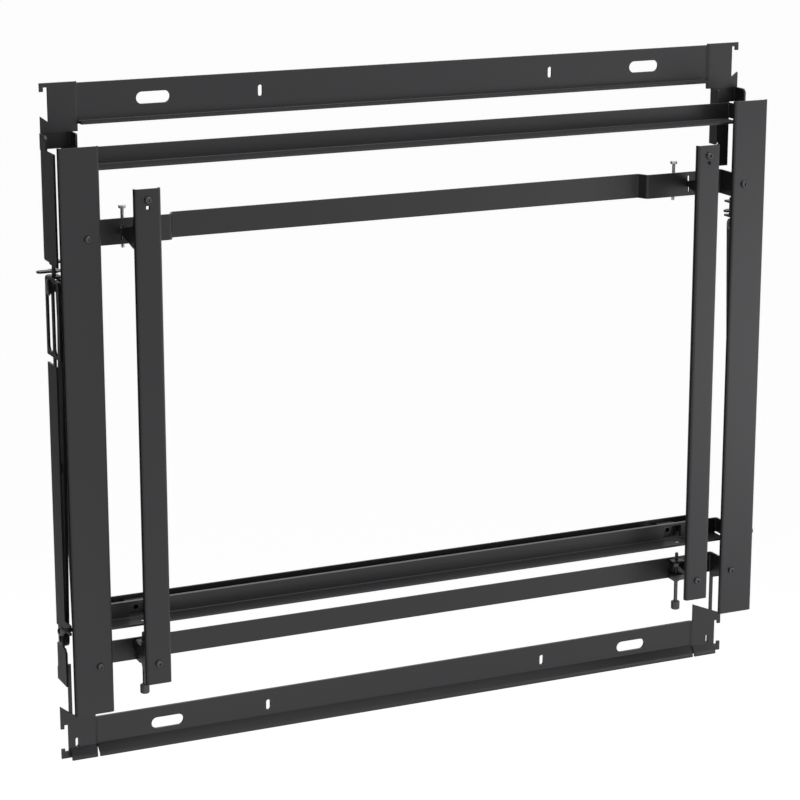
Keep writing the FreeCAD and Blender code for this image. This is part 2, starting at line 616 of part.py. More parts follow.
def front_roller():
    """Stud on the rear arm's top end, with the roller that runs in the carriage slot."""
    depth, z = FRONT_PIVOT_DEPTH, UPPER_PIVOT_Z
    roller_in = CARRIAGE_IN - FACE_GAP
    roller_out = CARRIAGE_OUT + FACE_GAP
    end = roller_in - FACE_GAP
    stud = turned(depth, z, [(end - PIN_HEAD, end, ROLLER_HEAD_R), (end, REAR_ARM_OUT, PIN_R - FIT),
                             (roller_out + FACE_GAP, REAR_ARM_IN, PIN_HEAD_R),
                             (REAR_ARM_OUT, REAR_ARM_OUT + PIN_HEAD, PIN_HEAD_R)])
    return group([stud, roller(roller_in, roller_out, depth, z)])


def rear_roller():
    """Stud on the front arm's top end, with the roller that runs in the post slot."""
    depth, z = REAR_PIVOT_DEPTH, UPPER_PIVOT_Z
    roller_in = POST_INNER - FACE_GAP
    roller_out = POST_X + FACE_GAP
    end = roller_out + FACE_GAP
    stud = turned(depth, z, [(FRONT_ARM_IN - PIN_HEAD, FRONT_ARM_IN, PIN_HEAD_R),
                             (FRONT_ARM_IN, end, PIN_R - FIT),
                             (FRONT_ARM_OUT, roller_in - FACE_GAP, PIN_HEAD_R),
                             (end, end + PIN_HEAD, ROLLER_HEAD_R)])
    return group([stud, roller(roller_in, roller_out, depth, z)])


# Front frame
def front_plate():
    mid = SHEET / 2
    x0, x1 = PLATE_INNER_X + mid, PLATE_INNER_X + PLATE_WIDTH - mid
    back = FRONT_FACE - PLATE_RETURN
    plate = plan_sheet([(x0, back), (x0, FRONT_FACE - mid), (x1, FRONT_FACE - mid), (x1, back)],
                       PLATE_BOTTOM, PLATE_TOP)
    return plate.cut(plate_screw_holes())


def plate_screw_holes():
    return [rod_y(SCREW_R + FIT, PLATE_SCREW_X, CROSS_FACE, FRONT_FACE + 1, z) for z in PLATE_SCREW_Z]


def carriage_bracket():
    mid = SHEET / 2
    bracket = plan_sheet([(CARRIAGE_EDGE_X, CARRIAGE_FACE - mid), (CARRIAGE_OUT - mid, CARRIAGE_FACE - mid),
                          (CARRIAGE_OUT - mid, CARRIAGE_BACK)], CARRIAGE_BOTTOM, CARRIAGE_TOP)
    x0, x1 = CARRIAGE_IN - 1, CARRIAGE_OUT + 1
    cuts = [side_slot(SLOT_HALF, x0, x1, FRONT_PIVOT_DEPTH, SLOT_BOTTOM, SLOT_TOP),
            rod_x(PIN_R, x0, x1, FRONT_PIVOT_DEPTH, LOWER_PIVOT_Z),
            rod_x(DOCK_R + FIT, x0, x1, DOCK_DEPTH, DOCK_Z)]
    return bracket.cut(cuts + plate_screw_holes())


def cross_rail(base):
    """Cross rail with a web, a flange bent forward and end tabs that reach the side brackets."""
    mid = SHEET / 2
    web = CROSS_FACE - mid
    top = base + CROSS_HEIGHT
    shelf = base + mid
    run = CROSS_END_X - SHEET - BEND
    length = section_sheet([(web, top), (web, shelf), (CROSS_FLANGE_FRONT, shelf)], -run, run)
    tab_base = base + SHEET + BEND
    foot = FOOT_FACE - mid
    end = plan_sheet([(run - CROSS_END_LAP, web), (CROSS_END_X - mid, web), (CROSS_END_X - mid, foot),
                      (FOOT_OUT_X, foot)], tab_base, top)
    return fuse_all([length] + both(end))


def lower_cross_rail():
    rail = cross_rail(LOWER_CROSS_Z)
    half = NUT_BLOCK_WIDTH / 2
    base = LOWER_CROSS_Z + SHEET + BEND
    window = block(NUT_BLOCK_X - half, NUT_BLOCK_X + half, CROSS_FACE - SHEET - 1, CROSS_FACE + 1,
                   base, base + NUT_BLOCK_HEIGHT)
    hole = rod_z(HEIGHT_SCREW_R + 1.5, HEIGHT_SCREW_X, HEIGHT_SCREW_DEPTH,
                 LOWER_CROSS_Z - 1, LOWER_CROSS_Z + 5)
    return rail.cut(both(window) + both(hole))


def nut_block():
    """Block that stands in the trough behind the window, with a cross hole."""
    half = NUT_BLOCK_WIDTH / 2 - SLIDE_GAP
    base = LOWER_CROSS_Z + SHEET
    back = TROUGH_BACK + SHEET + BEND
    plug = block(NUT_BLOCK_X - half, NUT_BLOCK_X + half, back, back + NUT_BLOCK_DEPTH,
                 base, base + NUT_BLOCK_HEIGHT)
    bore = rod_y(SCREW_R, NUT_BLOCK_X, back - 1, back + NUT_BLOCK_DEPTH + 1, base + NUT_BLOCK_HEIGHT / 2)
    return plug.cut(bore)


def lower_trough():
    mid = SHEET / 2
    back = TROUGH_BACK + mid
    front = CROSS_FACE - SHEET - mid
    floor = LOWER_CROSS_Z + mid
    top = LOWER_CROSS_Z + CROSS_HEIGHT
    trough = section_sheet([(back, top), (back, floor), (front, floor), (front, top)],
                           -TROUGH_HALF, TROUGH_HALF)
    half = NUT_BLOCK_WIDTH / 2
    base = LOWER_CROSS_Z + SHEET + BEND
    window = block(NUT_BLOCK_X - half, NUT_BLOCK_X + half, front - 2, CROSS_FACE + 1,
                   base, base + NUT_BLOCK_HEIGHT)
    return trough.cut(both(window))


def display_bar(face, tab_face, base, height):
    mid = SHEET / 2
    half = []
    if tab_face > face:
        half = [(BAR_JOGGLE_X, face - mid), (BAR_JOGGLE_X + BAR_JOGGLE_RUN, tab_face - mid)]
    half += [(BAR_END_X - mid, tab_face - mid), (BAR_END_X - mid, FOOT_FACE - mid),
             (BAR_FOOT_OUT_X, FOOT_FACE - mid)]
    path = [(-x, d) for x, d in reversed(half)] + half
    bar = plan_sheet(path, base, base + height)
    holes = plate_screw_holes()
    return bar.cut(holes + [mirrored(h) for h in holes])


def hook_window():
    """Window in the upper bar for the tongue of a hook bracket."""
    return block(BRACKET_WALL_X - SHEET - SLIDE_GAP, BRACKET_WALL_X + SLIDE_GAP,
                 UPPER_BAR_TAB_FACE - SHEET - 1, UPPER_BAR_TAB_FACE + 1,
                 UPPER_BAR_Z + HOOK_WINDOW_EDGE, UPPER_BAR_TOP - HOOK_WINDOW_EDGE)


def plate_screw(z):
    shank = rod_y(SCREW_R, PLATE_SCREW_X, FOOT_FACE - SHEET - 3, FRONT_FACE, z)
    return shank.fuse(rod_y(SCREW_HEAD_R, PLATE_SCREW_X, FRONT_FACE, FRONT_FACE + SCREW_HEAD, z))


def screw_bush():
    half = BUSH_WIDTH / 2
    top = LOWER_BAR_Z + BUSH_HEIGHT
    bush = block(HEIGHT_SCREW_X - half, HEIGHT_SCREW_X + half, LOWER_BAR_FACE, HEIGHT_SCREW_DEPTH + half,
                 LOWER_BAR_Z, top)
    return bush.cut(rod_z(HEIGHT_SCREW_R + FIT, HEIGHT_SCREW_X, HEIGHT_SCREW_DEPTH, LOWER_BAR_Z - 1, top + 1))


# Display rails and what hangs them
def display_rail():
    mid = SHEET / 2
    x0 = DISPLAY_X - DISPLAY_WIDTH / 2 + mid
    x1 = DISPLAY_X + DISPLAY_WIDTH / 2 - mid
    back = DISPLAY_FACE - DISPLAY_RETURN
    rail = plan_sheet([(x0, back), (x0, DISPLAY_FACE - mid), (x1, DISPLAY_FACE - mid), (x1, back)],
                      DISPLAY_BOTTOM, DISPLAY_TOP)
    return rail.cut([square_hole()] + rail_screw_holes())


def square_hole():
    half = DISPLAY_HOLE / 2
    return block(DISPLAY_X - half, DISPLAY_X + half, DISPLAY_BACK - SHEET - 1, DISPLAY_FACE + 1,
                 DISPLAY_HOLE_Z - half, DISPLAY_HOLE_Z + half)


def rail_screw_holes():
    return [rod_y(SCREW_R + FIT, DISPLAY_X, DISPLAY_BACK - 2 * SHEET, DISPLAY_FACE + 1, z)
            for z in (HOOK_SCREW_Z, LOWER_SCREW_Z)]


def bracket_blank(rear, z0, z1):
    mid = SHEET / 2
    flange = DISPLAY_BACK - mid
    inner = BRACKET_WALL_X - BRACKET_WIDTH
    return plan_sheet([(inner, flange), (BRACKET_WALL_X - mid, flange), (BRACKET_WALL_X - mid, rear)], z0, z1)


def hook_bracket():
    """Bracket behind the display rail: its tongue goes through the upper bar and hooks down behind it."""
    slot_front = UPPER_BAR_TAB_FACE + HOOK_PLAY
    slot_back = UPPER_BAR_TAB_FACE - SHEET - HOOK_PLAY
    low = TONGUE_BOTTOM - HOOK_DROP
    outline = [(DISPLAY_BACK + 1, HOOK_FLANGE_TOP), (HOOK_NECK_FRONT + NECK_RUN, HOOK_FLANGE_TOP),
               (HOOK_NECK_FRONT, HOOK_SHOULDER_Z), (slot_front, TONGUE_TOP), (HOOK_REAR, TONGUE_TOP),
               (HOOK_REAR, low), (slot_back, low), (slot_back, TONGUE_BOTTOM),
               (slot_front, TONGUE_BOTTOM), (HOOK_NECK_FRONT, HOOK_BOTTOM), (DISPLAY_BACK + 1, HOOK_BOTTOM)]
    blank = bracket_blank(HOOK_REAR, HOOK_BOTTOM, HOOK_FLANGE_TOP)
    bracket = blank.common(plate_dz(outline, BRACKET_WALL_X - BRACKET_WIDTH - 1, BRACKET_WALL_X + 1))
    mid = SHEET / 2
    lip = bent_sheet([(BRACKET_WALL_X - mid, low), (BRACKET_WALL_X - mid, TONGUE_TOP - mid),
                      (SAFETY_SCREW_X - 5, TONGUE_TOP - mid)], SHEET,
                     lambda x, z: vec(x, HOOK_REAR, z), FreeCAD.Vector(0, -HOOK_LIP_DEPTH, 0))
    corner = block(BRACKET_WALL_X - SHEET - 1, BRACKET_WALL_X + 1, HOOK_REAR - 1,
                   HOOK_REAR + HOOK_LIP_DEPTH, TONGUE_TOP - SHEET - BEND, TONGUE_TOP + 1)
    bracket = fuse_all([bracket.cut(corner), lip])
    hole = rod_z(SAFETY_SCREW_R + FIT, SAFETY_SCREW_X, SAFETY_SCREW_DEPTH, TONGUE_TOP - 5, TONGUE_TOP + 1)
    return bracket.cut([hole, square_hole()] + rail_screw_holes())


def safety_screw():
    """Screw through the lip of the hook bracket, held by a nut ring on the lip."""
    x, depth = SAFETY_SCREW_X, SAFETY_SCREW_DEPTH
    return fuse_all([rod_z(SAFETY_SCREW_R, x, depth, SAFETY_TIP_Z, SAFETY_HEAD_Z),
                     rod_z(SAFETY_SCREW_R + 1.6, x, depth, TONGUE_TOP, TONGUE_TOP + SAFETY_HEAD),
                     rod_z(SAFETY_SCREW_R + 1.6, x, depth, SAFETY_HEAD_Z, SAFETY_HEAD_Z + SAFETY_HEAD)])


def lower_bracket():
    mid = SHEET / 2
    outline = [(DISPLAY_BACK + 1, LOWER_BRACKET_TOP), (HOOK_NECK_FRONT, LOWER_BRACKET_TOP),
               (HOOK_NECK_FRONT - NECK_RUN, LIP_Z + SHEET), (LOWER_BRACKET_REAR, LIP_Z + SHEET),
               (LOWER_BRACKET_REAR, LIP_Z - LIP_BACK_DROP),
               (HOOK_NECK_FRONT - NECK_RUN, LIP_Z - LIP_FRONT_DROP),
               (HOOK_NECK_FRONT, LOWER_BRACKET_BOTTOM), (DISPLAY_BACK + 1, LOWER_BRACKET_BOTTOM)]
    blank = bracket_blank(LOWER_BRACKET_REAR, LOWER_BRACKET_BOTTOM, LOWER_BRACKET_TOP)
    bracket = blank.common(plate_dz(outline, BRACKET_WALL_X - BRACKET_WIDTH - 1, BRACKET_WALL_X + 1))
    depth = HEIGHT_SCREW_DEPTH - LOWER_BRACKET_REAR + 7
    lip_mid = LIP_Z + mid
    lip = bent_sheet([(BRACKET_WALL_X - mid, LIP_Z - 6), (BRACKET_WALL_X - mid, lip_mid),
                      (HEIGHT_SCREW_X - 7, lip_mid)], SHEET,
                     lambda x, z: vec(x, LOWER_BRACKET_REAR, z), FreeCAD.Vector(0, -depth, 0))
    corner = block(BRACKET_WALL_X - SHEET - 1, BRACKET_WALL_X + 1, LOWER_BRACKET_REAR - 1,
                   LOWER_BRACKET_REAR + depth, LIP_Z - BEND, LIP_Z + SHEET + 1)
    bracket = fuse_all([bracket.cut(corner), lip])
    hole = rod_z(HEIGHT_SCREW_R + SLIDE_GAP, HEIGHT_SCREW_X, HEIGHT_SCREW_DEPTH, LIP_Z - 2, LIP_Z + 4)
    return bracket.cut([hole] + rail_screw_holes())


def bracket_nut():
    corners = []
    radius = NUT_FLAT / math.sqrt(3)
    for i in range(6):
        angle = math.radians(60 * i + 30)
        corners.append(FreeCAD.Vector(HEIGHT_SCREW_X + radius * math.cos(angle),
                                      -HEIGHT_SCREW_DEPTH + radius * math.sin(angle), LIP_Z - NUT_HEIGHT))
    nut = Part.Face(Part.makePolygon(corners + corners[:1])).extrude(FreeCAD.Vector(0, 0, NUT_HEIGHT))
    return nut.cut(rod_z(HEIGHT_SCREW_R + FIT, HEIGHT_SCREW_X, HEIGHT_SCREW_DEPTH,
                         LIP_Z - NUT_HEIGHT - 1, LIP_Z + 1))


def rail_screw(z):
    shank = rod_y(SCREW_R, DISPLAY_X, DISPLAY_BACK - SHEET - 1, DISPLAY_FACE, z)
    return shank.fuse(rod_y(SCREW_HEAD_R, DISPLAY_X, DISPLAY_FACE, DISPLAY_FACE + SCREW_HEAD, z))


def height_screw():
    x, depth = HEIGHT_SCREW_X, HEIGHT_SCREW_DEPTH
    collar = LOWER_BAR_Z - FACE_GAP
    head_top = HEIGHT_HEAD_BOTTOM + HEIGHT_HEAD
    head = rod_z(HEIGHT_HEAD_R, x, depth, HEIGHT_HEAD_BOTTOM, head_top)
    shank = rod_z(HEIGHT_SCREW_R, x, depth, HEIGHT_HEAD_BOTTOM, HEIGHT_SCREW_TIP)
    ring = rod_z(HEIGHT_SCREW_R + 1.8, x, depth, collar - HEIGHT_COLLAR, collar)
    return fuse_all([head, shank, ring])


def spacing_lever():
    """Screw with a flat finger lever that sets the gap between upper and lower post."""
    x, depth = SPACER_SCREW_X, SPACER_SCREW_DEPTH
    top = LEVER_Z + LEVER_SHEET
    half = LEVER_WIDTH / 2
    hub = rod_z(LEVER_HUB_R, x, depth, LEVER_Z, top)
    bar = block(x - LEVER_IN + half, x + LEVER_OUT - half, depth - half, depth + half, LEVER_Z, top)
    ends = [rod_z(half, x - LEVER_IN + half, depth, LEVER_Z, top),
            rod_z(half, x + LEVER_OUT - half, depth, LEVER_Z, top)]
    screw = rod_z(SPACER_SCREW_R, x, depth, LOWER_POST_TOP, UPPER_POST_BOTTOM + SHEET + 3)
    return fuse_all([hub, bar, screw] + ends)


def docking_pin():
    """Pin fixed in the carriage wall: shut, it lies in the open fork of the lower post."""
    neck = POST_X + DOCK_STAND
    return turned(DOCK_DEPTH, DOCK_Z, [(CARRIAGE_IN - PIN_HEAD, neck, DOCK_R),
                                       (neck, neck + DOCK_HEAD, DOCK_HEAD_R)])


write("top_wall_rail", top_wall_rail())
write("bottom_wall_rail", bottom_wall_rail())
write("right_upper_post", upper_post(RIGHT_STRIP_WIDTH, HANGER_STRIP_BOTTOM))
write("left_upper_post", mirrored(upper_post(LEFT_STRIP_WIDTH, INNER_FLANGE_BOTTOM)))
write_pair("lower_post", lower_post())
write_pair("rear_pivot_pin", rear_pivot_pin())
write_pair("rear_arm", arm(REAR_ARM_IN, REAR_ARM_OUT, REAR_PIVOT_DEPTH, LEAN))
write_pair("front_arm", arm(FRONT_ARM_IN, FRONT_ARM_OUT, FRONT_PIVOT_DEPTH, -LEAN))
write_pair("centre_pin", centre_pin())
write_pair("front_pivot_pin", front_pivot_pin())
write_pair("front_roller", front_roller())
write_pair("rear_roller", rear_roller())
write_pair("front_plate", front_plate())
write_pair("carriage_bracket", carriage_bracket())
write("upper_cross_rail", cross_rail(UPPER_CROSS_Z))
write("lower_cross_rail", lower_cross_rail())
write("lower_trough", lower_trough())
write("cross_rail_nut_blocks", group(both(nut_block())))
upper_bar = display_bar(UPPER_BAR_FACE, UPPER_BAR_TAB_FACE, UPPER_BAR_Z, UPPER_BAR_HEIGHT)
write("upper_display_bar", upper_bar.cut(both(hook_window())))
write("lower_display_bar", display_bar(LOWER_BAR_FACE, LOWER_BAR_FACE, LOWER_BAR_Z, LOWER_BAR_HEIGHT))
write("front_plate_screws", group([s for z in PLATE_SCREW_Z for s in both(plate_screw(z))]))
write("screw_bushes", group(both(screw_bush())))
write_pair("display_rail", display_rail())
write_pair("hook_bracket", hook_bracket())
write_pair("lower_bracket", lower_bracket())
write_pair("bracket_nut", bracket_nut())
write_pair("rail_screws", group([rail_screw(z) for z in (HOOK_SCREW_Z, LOWER_SCREW_Z)]))
write_pair("safety_screw", safety_screw())
write_pair("height_screw", height_screw())
write_pair("spacing_lever", spacing_lever())
write_pair("docking_pin", docking_pin())
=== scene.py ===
import json
import math

import bmesh
import bpy
from bpy.props import FloatProperty, FloatVectorProperty, PointerProperty
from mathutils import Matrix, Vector


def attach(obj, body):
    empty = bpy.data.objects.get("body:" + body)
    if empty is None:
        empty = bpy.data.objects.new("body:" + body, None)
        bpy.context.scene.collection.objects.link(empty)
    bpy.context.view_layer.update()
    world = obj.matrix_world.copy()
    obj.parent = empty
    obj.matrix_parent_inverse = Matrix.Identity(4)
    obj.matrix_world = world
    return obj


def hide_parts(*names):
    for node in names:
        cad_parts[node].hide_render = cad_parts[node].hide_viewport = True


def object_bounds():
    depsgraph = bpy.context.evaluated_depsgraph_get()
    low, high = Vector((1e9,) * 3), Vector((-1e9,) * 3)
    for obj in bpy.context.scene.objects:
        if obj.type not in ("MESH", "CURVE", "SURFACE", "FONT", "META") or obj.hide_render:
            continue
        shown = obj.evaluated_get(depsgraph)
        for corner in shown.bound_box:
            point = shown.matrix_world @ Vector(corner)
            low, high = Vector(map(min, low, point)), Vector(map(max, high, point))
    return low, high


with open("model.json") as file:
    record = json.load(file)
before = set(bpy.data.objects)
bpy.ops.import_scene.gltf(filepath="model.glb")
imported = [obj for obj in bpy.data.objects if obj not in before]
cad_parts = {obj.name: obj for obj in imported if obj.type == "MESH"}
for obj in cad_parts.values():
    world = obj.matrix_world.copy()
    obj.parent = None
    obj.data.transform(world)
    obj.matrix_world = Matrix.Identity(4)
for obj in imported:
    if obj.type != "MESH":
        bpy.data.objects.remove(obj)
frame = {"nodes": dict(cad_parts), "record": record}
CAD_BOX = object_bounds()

bl_info = {
    "name": "Video Wall Mount",
    "version": (1, 1, 0),
    "blender": (4, 5, 0),
    "location": "View3D > Sidebar > Wall Mount",
    "description": "Dresses a pop-out wall mount for one flat display",
    "category": "Object",
}

MM = 0.001
BODIES = frame["record"]["behaviour"]["bodies"]
SLOTS = {row["node"]: row["material_slot"] for row in frame["record"]["subparts"]}
SIDES = {"left": -1, "right": 1}
ACROSS = Vector((1, 0, 0))
OUTWARD = Vector((0, -1, 0))
UPWARD = Vector((0, 0, 1))

# Sizes of the hardware are in millimetres, as in the part's source: X counts from the middle of
# the mount, DEPTH from the wall towards the front, Z from the middle of the mount.

# Faces of the sheets at one side, along X
POST_INNER = 376.0
POST_FACE = 378.0
REAR_ARM = (371.0, 374.0)
FRONT_ARM = (366.4, 369.4)
CARRIAGE = (362.4, 364.4)
FACE_GAP = 0.1

# Riveted pins and rollers of the scissors
PIN_R = 2.95
HEAD_R = 5.0
HEAD = 1.3
RIVET = (HEAD_R, PIN_R, HEAD_R, PIN_R, HEAD_R)
ROLLER_HEAD_R = 8.0
ROLLER_R = 6.2
BORE_R = 3.0
REAR_DEPTH = 16.0
FRONT_DEPTH = 34.0
PIVOT_Z = -205.6
ROLLER_Z = 143.0
DOME = ((0.0, 1.0), (0.45, 0.95), (0.75, 0.78), (0.92, 0.48), (1.0, 0.12))

# Docking pins, with the ends of neck, collar, flat and tip along X
DOCK_R = 2.0
DOCK_COLLAR_R = 2.8
DOCK_HEAD_R = 4.2
DOCK_DEPTH = 43.5
DOCK_Z = -187.5
DOCK_NECK = POST_FACE + 4
DOCK_COLLAR = POST_FACE + 6
DOCK_FLAT = POST_FACE + 8
DOCK_TIP = POST_FACE + 11

# Threads: how deep the ridge is and how far it sinks into its core, then its crest and its far
# foot as shares of the pitch
THREAD_DEPTH = 0.4
THREAD_SINK = 0.1
THREAD_CREST = 0.4
THREAD_FOOT = 0.8
THREAD_STEPS = 14

# Button head screws: the curve of the head is in shares of its radius and height, the ring that
# becomes the socket's mouth in shares of the socket size, and the ridge of the thread starts past
# the end and stops past the threaded length
BUTTON_R = 3.6
BUTTON_HEIGHT = 2.6
BUTTON_CURVE = ((1.0, 0.0), (1.0, 0.2), (0.97, 0.45), (0.85, 0.75), (0.66, 0.94))
BUTTON_SHANK_R = 2.4
BUTTON_CORE_R = 2.0
BUTTON_TIP_R = 1.5
BUTTON_TIP = 0.5
BUTTON_THREAD = 3.0
BUTTON_STEP = 0.2
BUTTON_RIDGE = (0.3, 0.6)
SOCKET_MOUTH = 0.6
SOCKET_SINK = 1.4
PLATE_SCREW_X = 353.0
PLATE_SCREW_Z = (194.5, -222.5)
PLATE_SCREW_DEPTHS = (52.3, 61.3)
RAIL_SCREW_X = 300.0
RAIL_SCREW_Z = (230.0, -221.5)
RAIL_SCREW_DEPTHS = (74.1, 79.1)

# Height screws: knurled knob, shank, collar and threaded end. The knurl takes a share of the
# radius away.
HEIGHT_X = 300.2
HEIGHT_DEPTH = 36.0
KNOB_LOW_Z = -266.0
KNOB_HIGH_Z = -257.0
KNOB_R = 4.6
KNOB_CHAMFER = 0.7
KNOB_NECK_R = 2.6
KNOB_NECK = 0.4
KNOB_NECK_END = 1.2
KNURL_LINES = 48
KNURL_SHARE = 0.1
KNURL_MARGIN = 0.6
SHANK_R = 2.0
COLLAR_LOW_Z = -234.4
COLLAR_HIGH_Z = -232.4
COLLAR_R = 3.8
COLLAR_FOOT_R = 3.2
COLLAR_CONE = 1.0
COLLAR_CHAMFER = 0.3
HEIGHT_CORE_R = 1.6
HEIGHT_TIP_Z = -203.0
HEIGHT_TIP = 0.5
HEIGHT_THREAD_Z = (COLLAR_HIGH_Z + 0.3, HEIGHT_TIP_Z - 0.4)
NUT_EDGE = 0.4

# Hanging screws: threaded rod with a nut on the lip and a head above it
HANGING_X = 301.0
HANGING_DEPTH = 7.5
HANGING_R = 2.0
HANGING_CORE_R = 1.6
HANGING_TIP_R = 1.1
HANGING_TIP = 0.5
HANGING_TIP_Z = 173.0
HANGING_LIP_Z = 195.7
HANGING_HEAD_Z = 211.0
HANGING_TOP_Z = 212.0
HANGING_THREAD_Z = (HANGING_TIP_Z + 0.4, HANGING_HEAD_Z)
HEX_FLAT = 6.4
HEX_HEIGHT = 3.0
HEX_CHAMFER = 0.3

# Mesh limits: lengths under which two points count as one or a point as near, angles of flat
# faces, of softened edges, of sharp shading and of half a hexagon's side, and steps of one turn
NODE_MERGE = 0.002 * MM
LATHE_MERGE = 0.001 * MM
NEAR = 0.05 * MM
FLAT_ANGLE = math.radians(0.5)
EDGE_ANGLE = math.radians(35)
SHADE_ANGLE = math.radians(42)
HALF_SIDE = math.pi / 6
PIN_STEPS = 32
WHEEL_STEPS = 48
BUTTON_STEPS = 24
ROD_STEPS = 20

# Noises of the coat's grain: input, its usual scale, detail and output
NOISES = (("Grain", 1400.0, 3.0, "Height"), ("Mottle", 9.0, 4.0, "Mask"))
BUMP_STRENGTH = 0.35

# Stage, in metres: the settings' name of each lamp's power, its place and its size
LAMPS = (("front", (0.1, -1.35, -1.0), 0.8), ("side", (0.9, -0.7, -0.15), 0.5),
         ("top", (0.4, -0.12, 1.7), 1.0), ("back", (0.9, 2.4, 0.9), 1.6))
FLOOR_HALF = 30.0
FLOOR_COLOR = (0.4, 0.4, 0.4, 1)
FLOOR_GLOW = 0.97
CARD_HALF = 2.2
CARD_PLACE = (-1.3, 1.9, 0.2)
CARD_COLOR = (0.01, 0.01, 0.01, 1)
SENSOR_WIDTH = 36.0


# Settings
class CoatSettings(bpy.types.PropertyGroup):
    color: FloatVectorProperty(
        name="Coat colour", description="Charcoal of the powder coat", subtype="COLOR", size=4,
        default=(0.03, 0.03, 0.0315, 1.0), min=0.0, max=1.0)
    roughness: FloatProperty(
        name="Coat roughness", description="Satin of the powder coat", default=0.55,
        min=0.0, max=1.0)
    grain: FloatProperty(
        name="Grain size", description="Width of one grain of the coat", default=0.7 * MM,
        min=0.1 * MM, max=10 * MM, unit="LENGTH")
    edge: FloatProperty(
        name="Edge radius", description="Softening of the cut sheet edges", default=0.3 * MM,
        min=0.05 * MM, max=1 * MM, unit="LENGTH")


class HardwareSettings(bpy.types.PropertyGroup):
    # Screw colour: black zinc, set darker than the coat so that the screw heads also stand in for
    # the painted shadows they throw on the plates and rails
    steel_and_head_shadow: FloatVectorProperty(
        name="Screw colour", description="Black zinc of screws and pins", subtype="COLOR", size=4,
        default=(0.015, 0.015, 0.0155, 1.0), min=0.0, max=1.0)
    zinc: FloatVectorProperty(
        name="Zinc colour", description="Bright zinc of the hanging screws", subtype="COLOR",
        size=4, default=(0.6, 0.61, 0.62, 1.0), min=0.0, max=1.0)
    nylon: FloatVectorProperty(
        name="Roller colour", description="Black of the moulded rollers", subtype="COLOR", size=4,
        default=(0.018, 0.018, 0.019, 1.0), min=0.0, max=1.0)
    edge: FloatProperty(
        name="Chamfer", description="Softening of the turned edges", default=0.25 * MM,
        min=0.05 * MM, max=1 * MM, unit="LENGTH")
    pitch: FloatProperty(
        name="Thread pitch", description="Rise of one turn of the screw threads", default=1 * MM,
        min=0.3 * MM, max=3 * MM, unit="LENGTH")
    socket: FloatProperty(
        name="Socket size", description="Width across the flats of the screw sockets",
        default=3 * MM, min=1 * MM, max=5 * MM, unit="LENGTH")


class StageSettings(bpy.types.PropertyGroup):
    camera: FloatVectorProperty(
        name="Camera", description="Place of the camera", subtype="TRANSLATION", size=3,
        default=(-1.1017, -2.3645, 0.6652), unit="LENGTH")
    heading: FloatProperty(
        name="Heading", description="Turn of the camera to the right of straight ahead",
        default=math.radians(24.82), subtype="ANGLE")
    tilt: FloatProperty(
        name="Tilt", description="How far the camera looks down", default=math.radians(14.53),
        subtype="ANGLE")
    lens: FloatProperty(name="Lens", description="Focal length in millimetres", default=119.58)
    floor_drop: FloatProperty(
        name="Floor drop", description="Height of the mount above the floor", default=0.9,
        min=0.0, unit="LENGTH")
    front: FloatProperty(
        name="Front light", description="Power of the low light in front", default=1.35)
    side: FloatProperty(
        name="Side light", description="Power of the near light on the right", default=1.55)
    top: FloatProperty(name="Top light", description="Power of the light above", default=11.0)
    back: FloatProperty(name="Back light", description="Power of the light behind", default=5.0)
    sky: FloatProperty(name="Room light", description="Light from all round", default=0.02)


# Materials
def add_node(tree, kind, **values):
    node = tree.nodes.new(kind)
    for key, value in values.items():
        setattr(node, key, value)
    return node


def grain_group():
    """Fine orange peel and a broad mottle: heights and a mask in object space."""
    group = bpy.data.node_groups.new("Coat grain", "ShaderNodeTree")
    for scale, usual, _, output in NOISES:
        socket = group.interface.new_socket(
            name=scale, in_out="INPUT", socket_type="NodeSocketFloat")
        socket.default_value = usual
        group.interface.new_socket(name=output, in_out="OUTPUT", socket_type="NodeSocketFloat")
    source = add_node(group, "NodeGroupInput")
    sink = add_node(group, "NodeGroupOutput")
    place = add_node(group, "ShaderNodeTexCoord")
    for scale, _, detail, output in NOISES:
        noise = add_node(group, "ShaderNodeTexNoise")
        noise.inputs["Detail"].default_value = detail
        group.links.new(place.outputs["Object"], noise.inputs["Vector"])
        group.links.new(source.outputs[scale], noise.inputs["Scale"])
        group.links.new(noise.outputs["Fac"], sink.inputs[output])
    return group


def finish_material(name, group, color, roughness, *, grain, mottle, shade, spread, depth, metal,
                    shine):
    """Principled surface whose colour, roughness and bump vary with the grain group."""
    material = bpy.data.materials.new(name)
    material.use_nodes = True
    tree = material.node_tree
    shader = tree.nodes["Principled BSDF"]
    shader.inputs["Metallic"].default_value = metal
    shader.inputs["Specular IOR Level"].default_value = shine
    source = add_node(tree, "ShaderNodeGroup", node_tree=group)
    source.inputs["Grain"].default_value = grain
    source.inputs["Mottle"].default_value = mottle
    tint = add_node(tree, "ShaderNodeMix", data_type="RGBA")
    tint.inputs["A"].default_value = [c * (1 - shade) for c in color[:3]] + [1.0]
    tint.inputs["B"].default_value = [c * (1 + shade) for c in color[:3]] + [1.0]
    rough = add_node(tree, "ShaderNodeMapRange")
    rough.inputs["To Min"].default_value = roughness - spread
    rough.inputs["To Max"].default_value = roughness + spread
    bump = add_node(tree, "ShaderNodeBump")
    bump.inputs["Strength"].default_value = BUMP_STRENGTH
    bump.inputs["Distance"].default_value = depth
    link = tree.links.new
    link(source.outputs["Mask"], tint.inputs["Factor"])
    link(tint.outputs["Result"], shader.inputs["Base Color"])
    link(source.outputs["Mask"], rough.inputs["Value"])
    link(rough.outputs["Result"], shader.inputs["Roughness"])
    link(source.outputs["Height"], bump.inputs["Height"])
    link(bump.outputs["Normal"], shader.inputs["Normal"])


